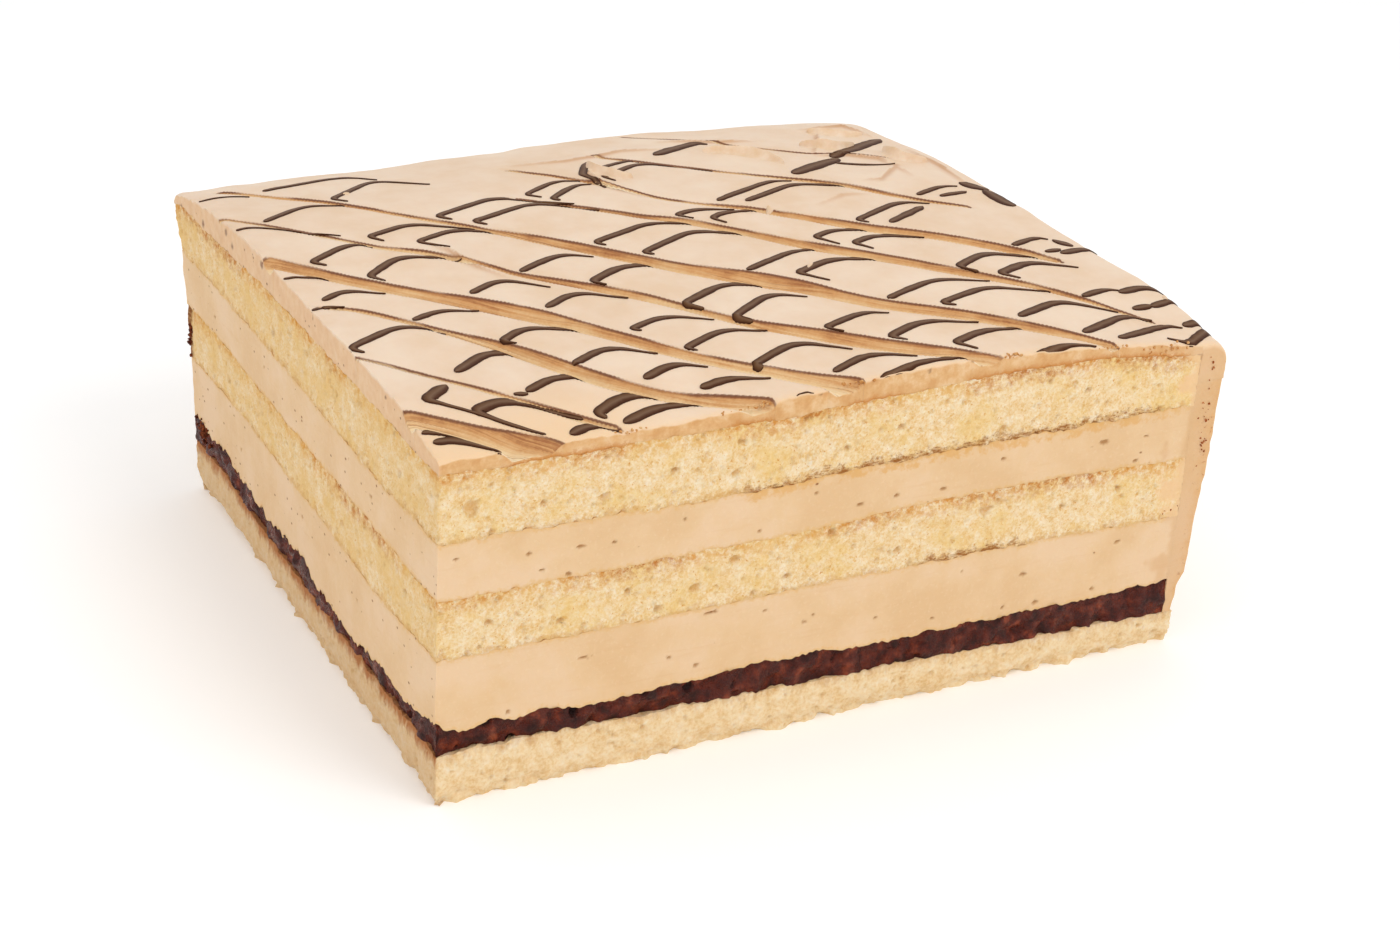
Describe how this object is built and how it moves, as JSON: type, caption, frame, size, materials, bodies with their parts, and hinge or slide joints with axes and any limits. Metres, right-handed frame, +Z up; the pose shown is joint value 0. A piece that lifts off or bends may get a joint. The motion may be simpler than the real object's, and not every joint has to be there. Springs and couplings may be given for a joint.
{
  "type": "tiramisu cake",
  "caption": "Square block of layered tiramisu cake: sponge, dark fruit filling and coffee cream in flat layers under a chocolate-feathered cream top.",
  "frame": {"origin": "centre of the bounding box on the plane that the cake stands on", "axes": "+X along the longer cut face towards the coated side, +Y along the other cut face towards the uncoated outer side, +Z up"},
  "size_m": [0.2036, 0.1834, 0.0893],
  "materials": {
    "base_crumb": "open, dry pale sponge crumb",
    "fruit_filling": "moist, lumpy dark fruit jam",
    "coffee_cream": "smooth cut coffee cream with small pits",
    "sponge_crumb": "open yellow sponge crumb with golden edges",
    "feathered_cream": "satin set cream with combed chocolate lines"
  },
  "bodies": {
    "root": {"base_sponge": "base_crumb", "dark_filling": "fruit_filling", "lower_cream": "coffee_cream", "middle_sponge": "sponge_crumb", "middle_cream": "coffee_cream", "top_sponge": "sponge_crumb", "top_cream": "feathered_cream"}
  },
  "joints": []
}
